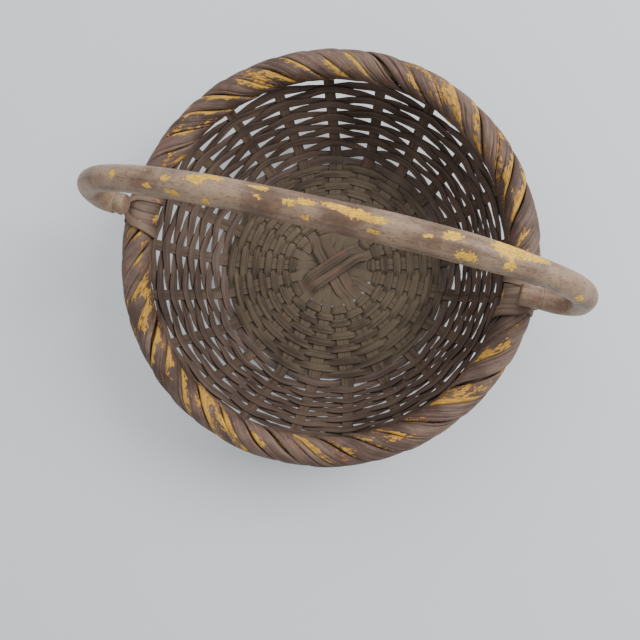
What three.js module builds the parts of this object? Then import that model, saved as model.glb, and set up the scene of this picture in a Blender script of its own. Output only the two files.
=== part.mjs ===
// Round open-weave splint basket with a roped border and a swing handle.
// Millimetres, +Z up. The origin is on the resting plane, under the middle of the base, and X is
// the handle's pivot axis.
//
// Flat splints cross under the middle of the base and rise as 21 stakes. Two base weavers and six
// wall weavers run over and under the stakes in one continuous spiral, which alternates by itself
// because the number of stakes is odd. A hoop lies on the stakes' ends, and 21 border strands wrap
// it. Two ear straps go over the border and under the handle's pegs, each held by a small lashing.

import * as THREE from 'three';

// --- driving dimensions -------------------------------------------------------------------------

const rimRadius = 150; // outside of the border
const basketHeight = 80; // resting plane to the top of the border
const borderRadius = 11; // half the border's thickness
const stakeCount = 21;

const stakeThickness = 1.2;
// Width of a splint at distances along it from the base's middle: full in the cross, shaved around
// it, widest where the base ends, and a little narrower up the wall.
const splintWidths = [
  [0, 7.0], [20, 7.0], [26, 5.6], [31, 5.6], [60, 8.4], [80, 9.6], [86, 9.4], [170, 8.0],
];
const crossPitch = 7.4; // side by side spacing in the cross
const layerPitch = 1.5; // height from one layer of the cross to the next
const stakeLevel = 1.9; // height of the stakes' middle in the base

const baseFlatRadius = 86; // where the base starts to turn up
const turnUpRadius = 22; // bend from base to wall
const wallAngle = THREE.MathUtils.degToRad(57.1); // wall above the horizontal
const wallSlant = 59; // straight length of a stake on the wall

const weaverThickness = 0.8;
// turns holds the turns of each weaver, one after the other.
const baseWeaver = { width: 4.75, pitch: 5.15, start: 30.85, side: 1.5, lift: 0, turns: [6, 5] };
const wallWeaver = { width: 4.2, pitch: 6.03, start: 88.2, side: 1.8, lift: 2.9, turns: [2, 2, 2, 2, 2, 2] };
const liftGrows = { from: 87.5, to: 103 }; // the wall's rows start to rise and sink over this length
const weaverEndGap = 0.5; // from a weaver's end to the middle of its stake
const stakeClearance = 0.4; // a weaver stays level this far beyond the stake's edge

const hoopRadius = 6.3; // section of the hoop inside the border
const strandTurnAdvance = THREE.MathUtils.degToRad(34.3); // along the rim, for one full wrap
const strandGap = THREE.MathUtils.degToRad(0.12); // each side of a strand
const strandStart = THREE.MathUtils.degToRad(-88); // under the border, 0 is outwards
const strandEnd = THREE.MathUtils.degToRad(230);
const strandSteps = 10;
// Section of a strand: place across it from -1 to 1, and distance from the border's middle.
// Its two ridges are the two halves of the folded splint.
const strandSection = [
  [-1, 9.3], [-0.5, 11], [0, 9.6], [0.5, 11], [1, 9.3],
  [1, 7.2], [0, 7.2], [-1, 7.2],
];

const pivotHeight = 89.4;
const rodRadius = { left: 8.3, crown: 9.1, right: 7.6 };
const rodThickens = { from: 0.4, to: 0.75 }; // share of the quarter turn from the bend to the crown
const pegRadius = 7.2;
const pegTipRadius = 5.4; // the end's face, inside its chamfer
const pegChamfer = 1.6;
const grooveRadius = 6.0; // the lashing's groove round each peg
const grooveFrom = 147.9;
const grooveTo = 150.1;
const grooveLip = 0.3; // along the peg, from the groove's floor to the full rod
const pegTip = { left: 143.0, right: 136.0 }; // the hand-cut pegs are not equally long
const pegBendRadius = { left: 8, right: 13 };
const bowHalfWidth = 165; // middle of the rod
const bowRise = 82; // crown above the pivot axis
const bowSquareness = 2.43; // exponent of the bow's curve, 2 is an ellipse
const bowShift = 6.2; // the hand-bent bow sits a little towards +X
const bendSteps = 5;
const bowSteps = 10;
const rodSides = 12;
const restLean = THREE.MathUtils.degToRad(4.5); // the handle leans towards +Y as stored

const strapThickness = 1.0;
const strapWidth = 8.6;
const strapTipWidth = 3.6;
const strapWrapRadius = 12.2; // strap's middle around the border's middle
const strapWallOffset = 3.4; // strap's middle inside the stakes' surface
const strapTail = [15.5, 11]; // the strap's tucked end lies between these distances from the stakes' ends
const strapLegSpread = 15.5; // from the pivot axis to the middle of a leg
const strapRiseBelow = 6; // the strap stands upright from this far under the border's middle
const strapLegInset = [0.5, 0.7]; // the leg moves in by these where it stands up and where it bends over
const strapBendSteps = 4;
const strapTaper = 0.7; // lost width for each step of the bend over the border
const strapApex = 148.6; // where the strap turns under the peg
// The strap's way from the top of the border to its apex: back from the apex, beside the pivot
// axis, and width.
const strapTurn = [[6.0, 7.6, 4.2], [3.5, 5.0, strapTipWidth], [1.7, 2.9, strapTipWidth],
  [0.4, 1.2, strapTipWidth]];
const lashingThickness = 0.8;
const lashingWidth = 1.6;
const lashingPlace = 149.0;
const lashingSlack = 0.2; // between the lashing and the peg or strap
const lashingSteps = 8; // over the peg
// The lashing's lower corners: in from its side and up from its bottom.
const lashingCorners = [[0, 2], [1.3, 0.3]];

// --- colours ------------------------------------------------------------------------------------

const finish = (color, roughness) => ({ color, roughness, metalness: 0 });
const finishes = {
  crossSplint: finish(0x8f826c, 0.85),
  baseWeave: finish(0x75634f, 0.85),
  wallWeave: finish(0x6d5850, 0.75),
  border: finish(0x80695c, 0.65),
  handle: finish(0x8a7168, 0.5),
  strap: finish(0x7c685c, 0.7),
  hoop: finish(0x9a8562, 0.9),
};

// --- derived places -----------------------------------------------------------------------------

const slotAngle = (2 * Math.PI) / stakeCount;
const borderPlace = rimRadius - borderRadius; // radius of the border's middle line
const borderLevel = basketHeight - borderRadius;
const turnUpLength = turnUpRadius * wallAngle;
const stakeEnd = baseFlatRadius + turnUpLength + wallSlant; // along a stake, from the base's middle

const { lerp, smoothstep } = THREE.MathUtils;

/** Point of the stakes' middle surface at a length along a stake, with its inward normal. */
function profile(length) {
  const turn = THREE.MathUtils.clamp((length - baseFlatRadius) / turnUpRadius, 0, wallAngle);
  const flat = Math.min(length, baseFlatRadius);
  const straight = Math.max(length - baseFlatRadius - turnUpLength, 0);
  return {
    r: flat + turnUpRadius * Math.sin(turn) + straight * Math.cos(turn),
    z: stakeLevel + turnUpRadius * (1 - Math.cos(turn)) + straight * Math.sin(turn),
    normalR: -Math.sin(turn),
    normalZ: Math.cos(turn),
  };
}

/** Point at an angle round the basket, a length along a stake, and an offset inwards and sideways. */
function onBasket(angle, length, offset, sideways = 0) {
  const { r, z, normalR, normalZ } = profile(length);
  const radius = r + normalR * offset;
  return new THREE.Vector3(
    radius * Math.cos(angle) - sideways * Math.sin(angle),
    radius * Math.sin(angle) + sideways * Math.cos(angle),
    z + normalZ * offset,
  );
}

/** Width of a splint at a distance along it from the base's middle. */
function splintWidth(length) {
  const next = splintWidths.findIndex(([place]) => place > length);
  const [[fromPlace, fromWidth], [toPlace, toWidth]] = [splintWidths[next - 1], splintWidths[next]];
  return lerp(fromWidth, toWidth, (length - fromPlace) / (toPlace - fromPlace));
}

// --- solids -------------------------------------------------------------------------------------

/** Six times the signed volume that a triangle list encloses. */
function signedVolume(points, triangles) {
  const cross = new THREE.Vector3();
  let total = 0;
  for (const [a, b, c] of triangles) {
    total += points[a].dot(cross.crossVectors(points[b], points[c]));
  }
  return total;
}

/** Closed solid through a row of rings with the same number of points each. */
function loft(rings, isLoop = false) {
  const size = rings[0].length;
  const points = rings.flat();
  const triangles = [];
  const spans = isLoop ? rings.length : rings.length - 1;
  for (let i = 0; i < spans; i += 1) {
    const here = i * size;
    const next = ((i + 1) % rings.length) * size;
    for (let j = 0; j < size; j += 1) {
      const k = (j + 1) % size;
      triangles.push([here + j, here + k, next + k], [here + j, next + k, next + j]);
    }
  }
  if (!isLoop) {
    for (const [ring, first] of [[rings[0], 0], [rings.at(-1), (rings.length - 1) * size]]) {
      const middle = new THREE.Vector3();
      ring.forEach((point) => middle.add(point));
      points.push(middle.divideScalar(size));
      for (let j = 0; j < size; j += 1) {
        const edge = [first + ((j + 1) % size), first + j];
        triangles.push([...(first === 0 ? edge : edge.reverse()), points.length - 1]);
      }
    }
  }
  if (signedVolume(points, triangles) < 0) {
    triangles.forEach((triangle) => triangle.reverse());
  }
  const geometry = new THREE.BufferGeometry().setFromPoints(points);
  geometry.setIndex(triangles.flat());
  geometry.computeVertexNormals();
  return geometry;
}

/** Four corners of a flat strip about a point, from its width and thickness directions. */
function stripRing(point, across, normal, width, thickness) {
  const corner = (u, v) => point.clone()
    .addScaledVector(across, (u * width) / 2)
    .addScaledVector(normal, (v * thickness) / 2);
  return [corner(1, 1), corner(-1, 1), corner(-1, -1), corner(1, -1)];
}

// --- splints ------------------------------------------------------------------------------------

// The cross, from the top layer down: direction, and for each splint the slots at its two ends and
// its place beside the layer's middle line.
const crossLayers = [
  { degrees: 47.1, splints: [[2, 14, -0.5], [3, 13, 0.5]] },
  { degrees: 132.9, splints: [[7, 19, -0.5], [8, 18, 0.5]] },
  { degrees: 90, splints: [[4, 17, -1], [5, 16, 0], [6, 15, 1]] },
  { degrees: 184.3, splints: [[10, 22, -1], [11, 21, 0], [12, 20, 1]] },
];
const insertedSlot = 9; // the half splint that makes the number of stakes odd
const insertedStart = 25.5;

const spread = { from: 20, to: 28 }; // the splints turn from parallel to radial
const together = { from: 21.6, to: 28.4 }; // the layers become one level
const turnUpSteps = 4;
const splintStops = [
  12, spread.from, together.from, 24, 26, spread.to, together.to, 31, 60, 80, baseFlatRadius,
];
for (let step = 1; step <= turnUpSteps; step += 1) {
  splintStops.push(baseFlatRadius + (turnUpLength * step) / turnUpSteps);
}
splintStops.push(stakeEnd);

/** Ring of a stake beyond the cross. travel is 1 outwards and -1 inwards. */
function stakeRing(angle, length, travel) {
  const half = (splintWidth(length) / 2) * travel;
  const skin = stakeThickness / 2;
  return [[half, skin], [-half, skin], [-half, -skin], [half, -skin]]
    .map(([sideways, offset]) => onBasket(angle, length, offset, sideways));
}

/** Ring of a splint inside the cross, where it turns from its layer's line to its slot's. */
function crossRing(layer, level, beside, angle, length, travel) {
  const direction = THREE.MathUtils.degToRad(layer.degrees);
  const along = new THREE.Vector3(Math.cos(direction), Math.sin(direction), 0);
  const across = new THREE.Vector3(-along.y, along.x, 0);
  const radial = new THREE.Vector3(Math.cos(angle), Math.sin(angle), 0);
  const turned = smoothstep(length, spread.from, spread.to);
  const heading = along.clone().multiplyScalar(travel).lerp(radial, turned).normalize();
  const point = along.multiplyScalar(length * travel).addScaledVector(across, beside * crossPitch);
  point.lerp(radial.multiplyScalar(length), turned);
  point.z = lerp(level, stakeLevel, smoothstep(length, together.from, together.to));
  const sideways = new THREE.Vector3(-heading.y, heading.x, 0).multiplyScalar(travel);
  return stripRing(point, sideways, new THREE.Vector3(0, 0, 1), splintWidth(length), stakeThickness);
}

function splintHalf(layer, level, beside, slot, travel) {
  const angle = slot * slotAngle;
  return splintStops.map((length) => (length < together.to
    ? crossRing(layer, level, beside, angle, length, travel)
    : stakeRing(angle, length, travel)));
}

function throughSplint(layer, level, [nearSlot, farSlot, beside]) {
  const far = splintHalf(layer, level, beside, farSlot, -1);
  const near = splintHalf(layer, level, beside, nearSlot, 1);
  return loft([...far.reverse(), ...near]);
}

function insertedSplint() {
  const lengths = [insertedStart, ...splintStops.filter((length) => length > insertedStart)];
  return loft(lengths.map((length) => stakeRing(insertedSlot * slotAngle, length, 1)));
}

// --- weavers ------------------------------------------------------------------------------------

/** One length of weaver. firstStake counts stakes along the whole spiral. */
function weaver(spec, rowStart, firstStake, turns) {
  const stakes = turns * stakeCount;
  const lengthAt = (stake) => rowStart + (spec.pitch * stake) / stakeCount;
  const rings = [];
  const addRing = (stake, reach) => {
    const side = (firstStake + stake) % 2 === 0 ? 1 : -1;
    const lift = spec.lift * smoothstep(lengthAt(stake), liftGrows.from, liftGrows.to);
    const middle = lengthAt(stake) + side * lift;
    const angle = (firstStake + stake) * slotAngle + reach / profile(middle).r;
    const corners = [[1, 1], [-1, 1], [-1, -1], [1, -1]];
    rings.push(corners.map(([u, v]) => onBasket(
      angle,
      middle + (u * spec.width) / 2,
      side * spec.side + (v * weaverThickness) / 2,
    )));
  };
  for (let stake = 0; stake <= stakes; stake += 1) {
    const reach = splintWidth(lengthAt(stake)) / 2 + stakeClearance;
    addRing(stake, stake === 0 ? weaverEndGap : -reach);
    addRing(stake, stake === stakes ? -weaverEndGap : reach);
  }
  return loft(rings);
}

// --- border -------------------------------------------------------------------------------------

/** A strand wraps the hoop from under the border, over its outside and top, to its inside. */
function borderStrand(index) {
  const middle = (index + 0.5) * slotAngle;
  const halfSpan = slotAngle / 2 - strandGap;
  const rings = [];
  for (let step = 0; step <= strandSteps; step += 1) {
    const wrap = lerp(strandStart, strandEnd, step / strandSteps);
    const start = middle - (wrap / (2 * Math.PI)) * strandTurnAdvance;
    rings.push(strandSection.map(([across, depth]) => {
      const angle = start + across * halfSpan;
      const radius = borderPlace + depth * Math.cos(wrap);
      const height = borderLevel + depth * Math.sin(wrap);
      return new THREE.Vector3(radius * Math.cos(angle), radius * Math.sin(angle), height);
    }));
  }
  return loft(rings);
}

// --- handle -------------------------------------------------------------------------------------

/** Stops along one side of the handle, from the peg's tip to the crown: place and rod radius. */
function handleSide(side, tip, bendRadius, endRadius) {
  const stops = [
    [tip, pegTipRadius], [tip + pegChamfer, pegRadius], [grooveFrom - grooveLip, pegRadius],
    [grooveFrom, grooveRadius], [grooveTo, grooveRadius], [grooveTo + grooveLip, pegRadius],
  ].map(([x, radius]) => ({ x: side * x, rise: 0, slope: 0, radius }));
  const bendStart = bowHalfWidth - bendRadius;
  for (let step = 1; step <= bendSteps; step += 1) {
    const turn = (step / bendSteps) * (Math.PI / 2);
    stops.push({
      x: bowShift + side * (bendStart + bendRadius * Math.sin(turn)),
      rise: bendRadius * (1 - Math.cos(turn)),
      slope: turn,
      radius: endRadius,
    });
  }
  for (let step = 1; step <= bowSteps; step += 1) {
    const share = step / bowSteps;
    const turn = share * (Math.PI / 2);
    const power = 2 / bowSquareness;
    stops.push({
      x: bowShift + side * bowHalfWidth * Math.cos(turn) ** power,
      rise: bendRadius + (bowRise - bendRadius) * Math.sin(turn) ** power,
      radius: lerp(endRadius, rodRadius.crown, smoothstep(share, rodThickens.from, rodThickens.to)),
    });
  }
  return stops;
}

function handle() {
  const left = handleSide(-1, pegTip.left, pegBendRadius.left, rodRadius.left);
  const right = handleSide(1, pegTip.right, pegBendRadius.right, rodRadius.right);
  right.pop(); // the crown is the left side's last stop
  const stops = [...left, ...right.reverse()];
  const up = new THREE.Vector3(0, Math.sin(restLean), Math.cos(restLean));
  const beside = new THREE.Vector3(0, Math.cos(restLean), -Math.sin(restLean));
  const base = new THREE.Vector3(0, 0, pivotHeight);
  const middles = stops.map(({ x, rise }) => base.clone().addScaledVector(up, rise).setX(x));
  const rings = stops.map(({ slope, radius }, i) => {
    const before = middles[Math.max(i - 1, 0)];
    const after = middles[Math.min(i + 1, middles.length - 1)];
    const heading = after.clone().sub(before).normalize();
    if (slope === 0) heading.set(Math.sign(heading.x), 0, 0);
    const outward = new THREE.Vector3().crossVectors(heading, beside);
    return Array.from({ length: rodSides }, (_, j) => {
      const turn = (j / rodSides) * 2 * Math.PI;
      return middles[i].clone()
        .addScaledVector(beside, radius * Math.cos(turn))
        .addScaledVector(outward, radius * Math.sin(turn));
    });
  });
  return loft(rings);
}

// --- ears ---------------------------------------------------------------------------------------

/** Stops along one leg of an ear strap, from its tucked end inside the wall to under the peg. */
function earLeg() {
  const stops = [];
  const addStop = (r, beside, z, tilt, width) => stops.push({ r, beside, z, tilt, width });
  for (const fromEnd of strapTail) {
    const { r, z, normalR, normalZ } = profile(stakeEnd - fromEnd);
    const tilt = Math.PI / 2 - wallAngle;
    addStop(r + normalR * strapWallOffset, strapLegSpread, z + normalZ * strapWallOffset, tilt, strapWidth);
  }
  const inside = borderPlace - strapWrapRadius;
  addStop(inside, strapLegSpread - strapLegInset[0], borderLevel - strapRiseBelow, 0, strapWidth);
  for (let step = 0; step <= strapBendSteps; step += 1) {
    const turn = (step / strapBendSteps) * (Math.PI / 2);
    addStop(
      borderPlace - strapWrapRadius * Math.cos(turn),
      strapLegSpread - strapLegInset[1] - step,
      borderLevel + strapWrapRadius * Math.sin(turn),
      turn,
      strapWidth - step * strapTaper,
    );
  }
  const top = borderLevel + strapWrapRadius;
  for (const [back, beside, width] of strapTurn) {
    addStop(strapApex - back, beside, top, Math.PI / 2, width);
  }
  return stops;
}

function earStrap(side) {
  const leg = earLeg();
  const apex = { r: strapApex, beside: 0, z: leg.at(-1).z, tilt: Math.PI / 2, width: strapTipWidth };
  const mirrored = leg.map((stop) => ({ ...stop, beside: -stop.beside })).reverse();
  const stops = [...leg, apex, ...mirrored];
  const middles = stops.map(({ r, beside, z }) => new THREE.Vector3(
    side * Math.sqrt(r * r - beside * beside),
    beside,
    z,
  ));
  const rings = stops.map(({ tilt, width }, i) => {
    const before = middles[Math.max(i - 1, 0)];
    const after = middles[Math.min(i + 1, middles.length - 1)];
    const heading = after.clone().sub(before).normalize();
    const inward = new THREE.Vector3(-middles[i].x, -middles[i].y, 0).normalize();
    const normal = inward.multiplyScalar(Math.cos(tilt)).setZ(Math.sin(tilt));
    const across = new THREE.Vector3().crossVectors(normal, heading).normalize();
    normal.crossVectors(heading, across);
    return stripRing(middles[i], across, normal, width, strapThickness);
  });
  return loft(rings);
}

/** A closed band over the peg's neck and under the ear strap. */
function earLashing(side) {
  const reach = grooveRadius + lashingSlack + lashingThickness / 2;
  const strapUnderside = borderLevel + strapWrapRadius - strapThickness / 2;
  const bottom = strapUnderside - lashingSlack - lashingThickness / 2;
  const outline = [];
  for (let step = 0; step <= lashingSteps; step += 1) {
    const turn = (step / lashingSteps) * Math.PI;
    outline.push([reach * Math.cos(turn), pivotHeight + reach * Math.sin(turn)]);
  }
  const corners = lashingCorners.map(([inward, up]) => [reach - inward, bottom + up]);
  outline.push(...corners.map(([beside, z]) => [-beside, z]), [0, bottom], ...corners.reverse());
  const across = new THREE.Vector3(1, 0, 0);
  const rings = outline.map(([y, z], i) => {
    const before = outline[(i + outline.length - 1) % outline.length];
    const after = outline[(i + 1) % outline.length];
    const normal = new THREE.Vector3(0, after[1] - before[1], before[0] - after[0]).normalize();
    const middle = new THREE.Vector3(side * lashingPlace, y, z);
    return stripRing(middle, across, normal, lashingWidth, lashingThickness);
  });
  return loft(rings, true);
}

// --- assembly -----------------------------------------------------------------------------------

const group = new THREE.Group();

function addPiece(name, geometry, look) {
  const mesh = new THREE.Mesh(geometry, new THREE.MeshStandardMaterial(look));
  mesh.name = name;
  group.add(mesh);
}

const numbered = (name, index) => `${name}_${String(index + 1).padStart(2, '0')}`;

const topLayerLevel = stakeThickness / 2 + layerPitch * (crossLayers.length - 1);
let splintIndex = 0;
crossLayers.forEach((layer, depth) => {
  const level = topLayerLevel - depth * layerPitch;
  layer.splints.forEach((splint) => {
    addPiece(numbered('splint', splintIndex), throughSplint(layer, level, splint), finishes.crossSplint);
    splintIndex += 1;
  });
});
addPiece('half_splint', insertedSplint(), finishes.crossSplint);

let stakesPassed = -stakeCount; // an odd count, so the first row starts under its stake
const weaves = [
  { name: 'base_weaver', spec: baseWeaver, look: finishes.baseWeave },
  { name: 'wall_weaver', spec: wallWeaver, look: finishes.wallWeave },
];
for (const { name, spec, look } of weaves) {
  let rowStart = spec.start;
  spec.turns.forEach((turns, index) => {
    addPiece(numbered(name, index), weaver(spec, rowStart, stakesPassed, turns), look);
    rowStart += turns * spec.pitch;
    stakesPassed += turns * stakeCount;
  });
}

const hoop = new THREE.TorusGeometry(borderPlace, hoopRadius, 8, 48);
hoop.translate(0, 0, borderLevel);
addPiece('border_hoop', hoop, finishes.hoop);
for (let index = 0; index < stakeCount; index += 1) {
  addPiece(numbered('border_strand', index), borderStrand(index), finishes.border);
}

addPiece('handle', handle(), finishes.handle);
for (const [end, side] of [['right', 1], ['left', -1]]) {
  addPiece(`ear_strap_${end}`, earStrap(side), finishes.strap);
  addPiece(`ear_lashing_${end}`, earLashing(side), finishes.strap);
}

export default group;
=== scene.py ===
import bpy
import numpy as np
from mathutils import Matrix, Vector


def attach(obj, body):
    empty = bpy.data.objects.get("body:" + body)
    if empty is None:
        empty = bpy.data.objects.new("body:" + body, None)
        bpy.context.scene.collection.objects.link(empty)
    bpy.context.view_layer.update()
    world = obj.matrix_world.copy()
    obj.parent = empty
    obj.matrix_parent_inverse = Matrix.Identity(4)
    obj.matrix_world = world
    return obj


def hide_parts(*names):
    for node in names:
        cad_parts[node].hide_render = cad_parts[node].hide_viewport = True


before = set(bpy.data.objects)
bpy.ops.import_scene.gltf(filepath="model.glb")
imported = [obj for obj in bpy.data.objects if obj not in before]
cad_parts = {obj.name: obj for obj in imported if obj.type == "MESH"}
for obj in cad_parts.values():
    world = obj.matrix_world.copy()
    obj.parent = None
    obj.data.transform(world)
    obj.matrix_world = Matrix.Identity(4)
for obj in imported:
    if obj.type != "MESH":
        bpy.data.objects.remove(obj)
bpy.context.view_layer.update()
print("frame loaded:", len(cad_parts), "nodes")

# The basket's own shape, in metres: the same rounds, slants and levels as the solids.
basket = {
    "stakeCount": 21,
    "baseFlat": 0.086,
    "turnUp": 0.022,
    "wallAngle": np.radians(57.1),
    "wallSlant": 0.059,
    "stakeLevel": 0.0019,
    "borderPlace": 0.139,
    "borderLevel": 0.069,
}
slotAngle = 2 * np.pi / basket["stakeCount"]
turnUpLength = basket["turnUp"] * basket["wallAngle"]
stakeEnd = basket["baseFlat"] + turnUpLength + basket["wallSlant"]


def smoothStep(x, low, high):
    t = np.clip((x - low) / (high - low), 0, 1)
    return t * t * (3 - 2 * t)


def waver(x, seed, scale, count=5):
    # sum of sines of growing frequency and random phase, about -1 to 1
    rng = np.random.default_rng(seed)
    total = np.zeros_like(np.asarray(x, float))
    for step in range(count):
        total = total + np.sin(x / scale * (1 + 0.7 * step) + rng.uniform(0, 6.283)) / (1 + 0.5 * step)
    return total / 2.2


def profile(length):
    # a stake's middle surface: flat, then an arc, then a straight slant; with its inward normal
    turn = np.clip((length - basket["baseFlat"]) / basket["turnUp"], 0, basket["wallAngle"])
    flat = np.minimum(length, basket["baseFlat"])
    straight = np.maximum(length - basket["baseFlat"] - turnUpLength, 0)
    r = flat + basket["turnUp"] * np.sin(turn) + straight * np.cos(turn)
    z = basket["stakeLevel"] + basket["turnUp"] * (1 - np.cos(turn)) + straight * np.sin(turn)
    return r, z, -np.sin(turn), np.cos(turn)


def onBasket(angle, length, offset):
    # round the basket by angle, out along a stake by length, inwards by offset
    r, z, normalR, normalZ = profile(length)
    radius = r + normalR * offset
    return np.stack([radius * np.cos(angle), radius * np.sin(angle), z + normalZ * offset], -1)


# A splint's cut: how far its flat face and its rounding reach out, and how thick it is at each.
strip = {"flatTo": 0.9, "roundAt": 0.975, "roundThick": 0.8, "sideThick": 0.35}


def splintSection(count=7):
    # flat strip with small round edges: places across it and through it, both -1 to 1
    flat = np.linspace(-strip["flatTo"], strip["flatTo"], count)
    top = np.concatenate([[-strip["roundAt"]], flat, [strip["roundAt"]]])
    skin = np.concatenate([[strip["roundThick"]], np.ones(count), [strip["roundThick"]]])
    side = np.array([1, -1]) * strip["sideThick"]
    across = np.concatenate([top, [1, 1], top[::-1], [-1, -1]])
    thick = np.concatenate([skin, side, -skin, -side])
    return across, thick


def asSheet(*values):
    # numbers and rows brought to one grid and stacked as vectors
    return np.stack(np.broadcast_arrays(*values), -1)


def stripRings(middle, sideways, normal, reach, skin):
    # a strip's rings: middle + sideways reach + normal skin
    return middle[:, None, :] + sideways[:, None, :] * reach[..., None] + normal[:, None, :] * skin[..., None]


def alongPath(points):
    # distance along a row of points
    steps = np.linalg.norm(np.diff(points, axis=0), axis=1)
    return np.concatenate([[0], np.cumsum(steps)])


def lattice(name, rings, straight, across, bare, isLoop=False):
    # Closed skin through rings of points. straight is each point's place on the piece before it was
    # bent, across its place over the width, bare how likely the paint is gone there.
    count, size = rings.shape[:2]
    spans = count if isLoop else count - 1
    here = (np.arange(spans)[:, None] * size + np.arange(size)[None, :])
    ahead = ((np.arange(spans)[:, None] + 1) % count) * size + np.arange(size)[None, :]
    quads = np.stack([here, np.roll(here, -1, 1), np.roll(ahead, -1, 1), ahead], -1).reshape(-1, 4)
    faces = quads.tolist()
    if not isLoop:
        faces += [list(range(size))[::-1], list(range((count - 1) * size, count * size))]
    points = rings.reshape(-1, 3)
    a, b, c, d = points[quads[:, 0]], points[quads[:, 1]], points[quads[:, 2]], points[quads[:, 3]]
    volume = np.einsum("ij,ij->i", a, np.cross(b, c)).sum() + np.einsum("ij,ij->i", a, np.cross(c, d)).sum()
    if volume < 0:
        faces = [face[::-1] for face in faces]
    mesh = bpy.data.meshes.new(name)
    mesh.from_pydata(points.tolist(), [], faces)
    mesh.polygons.foreach_set("use_smooth", np.ones(len(faces), bool))
    vectors = mesh.attributes.new("straight", "FLOAT_VECTOR", "POINT")
    vectors.data.foreach_set("vector", straight.reshape(-1, 3).astype(np.float32).ravel())
    for key, values in (("across", across), ("bare", bare)):
        spread = np.broadcast_to(values, (count, size)).astype(np.float32)
        mesh.attributes.new(key, "FLOAT", "POINT").data.foreach_set("value", spread.ravel())
    mesh.update()
    made = bpy.data.objects.new(name, mesh)
    bpy.context.scene.collection.objects.link(made)
    return made


def finishPiece(made, material, body, slotName, *nodes):
    made.data.materials.append(material)
    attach(made, body)
    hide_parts(*nodes)
    return made


class Link:
    # one node socket; arithmetic on it adds Math nodes
    def __init__(self, finish, socket):
        self.finish, self.socket = finish, socket

    def __add__(self, other):
        return self.finish.maths("ADD", self, other)

    def __radd__(self, other):
        return self.finish.maths("ADD", other, self)

    def __sub__(self, other):
        return self.finish.maths("SUBTRACT", self, other)

    def __rsub__(self, other):
        return self.finish.maths("SUBTRACT", other, self)

    def __mul__(self, other):
        return self.finish.maths("MULTIPLY", self, other)

    def __rmul__(self, other):
        return self.finish.maths("MULTIPLY", other, self)


class Finish:
    # one material under construction
    def __init__(self, name):
        self.material = bpy.data.materials.new(name)
        self.material.use_nodes = True
        self.tree = self.material.node_tree
        self.shader = self.tree.nodes["Principled BSDF"]

    def add(self, kind, settings=None, sockets=None, out=0):
        node = self.tree.nodes.new(kind)
        for key, value in (settings or {}).items():
            setattr(node, key, value)
        for key, value in (sockets or {}).items():
            self.put(node.inputs[key], value)
        return Link(self, node.outputs[out])

    def put(self, target, value):
        if isinstance(value, Link):
            self.tree.links.new(value.socket, target)
        else:
            target.default_value = value

    def maths(self, operation, first, second=0.0):
        return self.add("ShaderNodeMath", {"operation": operation}, {0: first, 1: second})

    def ramp(self, value, low, high):
        # 0 below low, 1 above high, smooth between
        settings = {"interpolation_type": "SMOOTHSTEP"}
        return self.add("ShaderNodeMapRange", settings, {"Value": value, "From Min": low, "From Max": high})

    def mix(self, factor, first, second):
        return self.add("ShaderNodeMix", {"data_type": "RGBA"}, {0: factor, 6: first, 7: second}, out=2)

    def stretched(self, vector, scale, shift=(0, 0, 0)):
        return self.add("ShaderNodeMapping", {}, {"Vector": vector, "Scale": scale, "Location": shift})

    def noise(self, vector, detail=3.0, roughness=0.55):
        sockets = {"Vector": vector, "Scale": 1.0, "Detail": detail, "Roughness": roughness}
        return self.add("ShaderNodeTexNoise", {}, sockets)

    def finish(self, **sockets):
        for key, value in sockets.items():
            self.put(self.shader.inputs[key], value)
        return self.material


def rgb(red, green, blue):
    # screen colour 0-255 to the renderer's own
    value = np.array([red, green, blue]) / 255
    linear = np.where(value <= 0.04045, value / 12.92, ((value + 0.055) / 1.055) ** 2.4)
    return (*linear.tolist(), 1.0)


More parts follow.
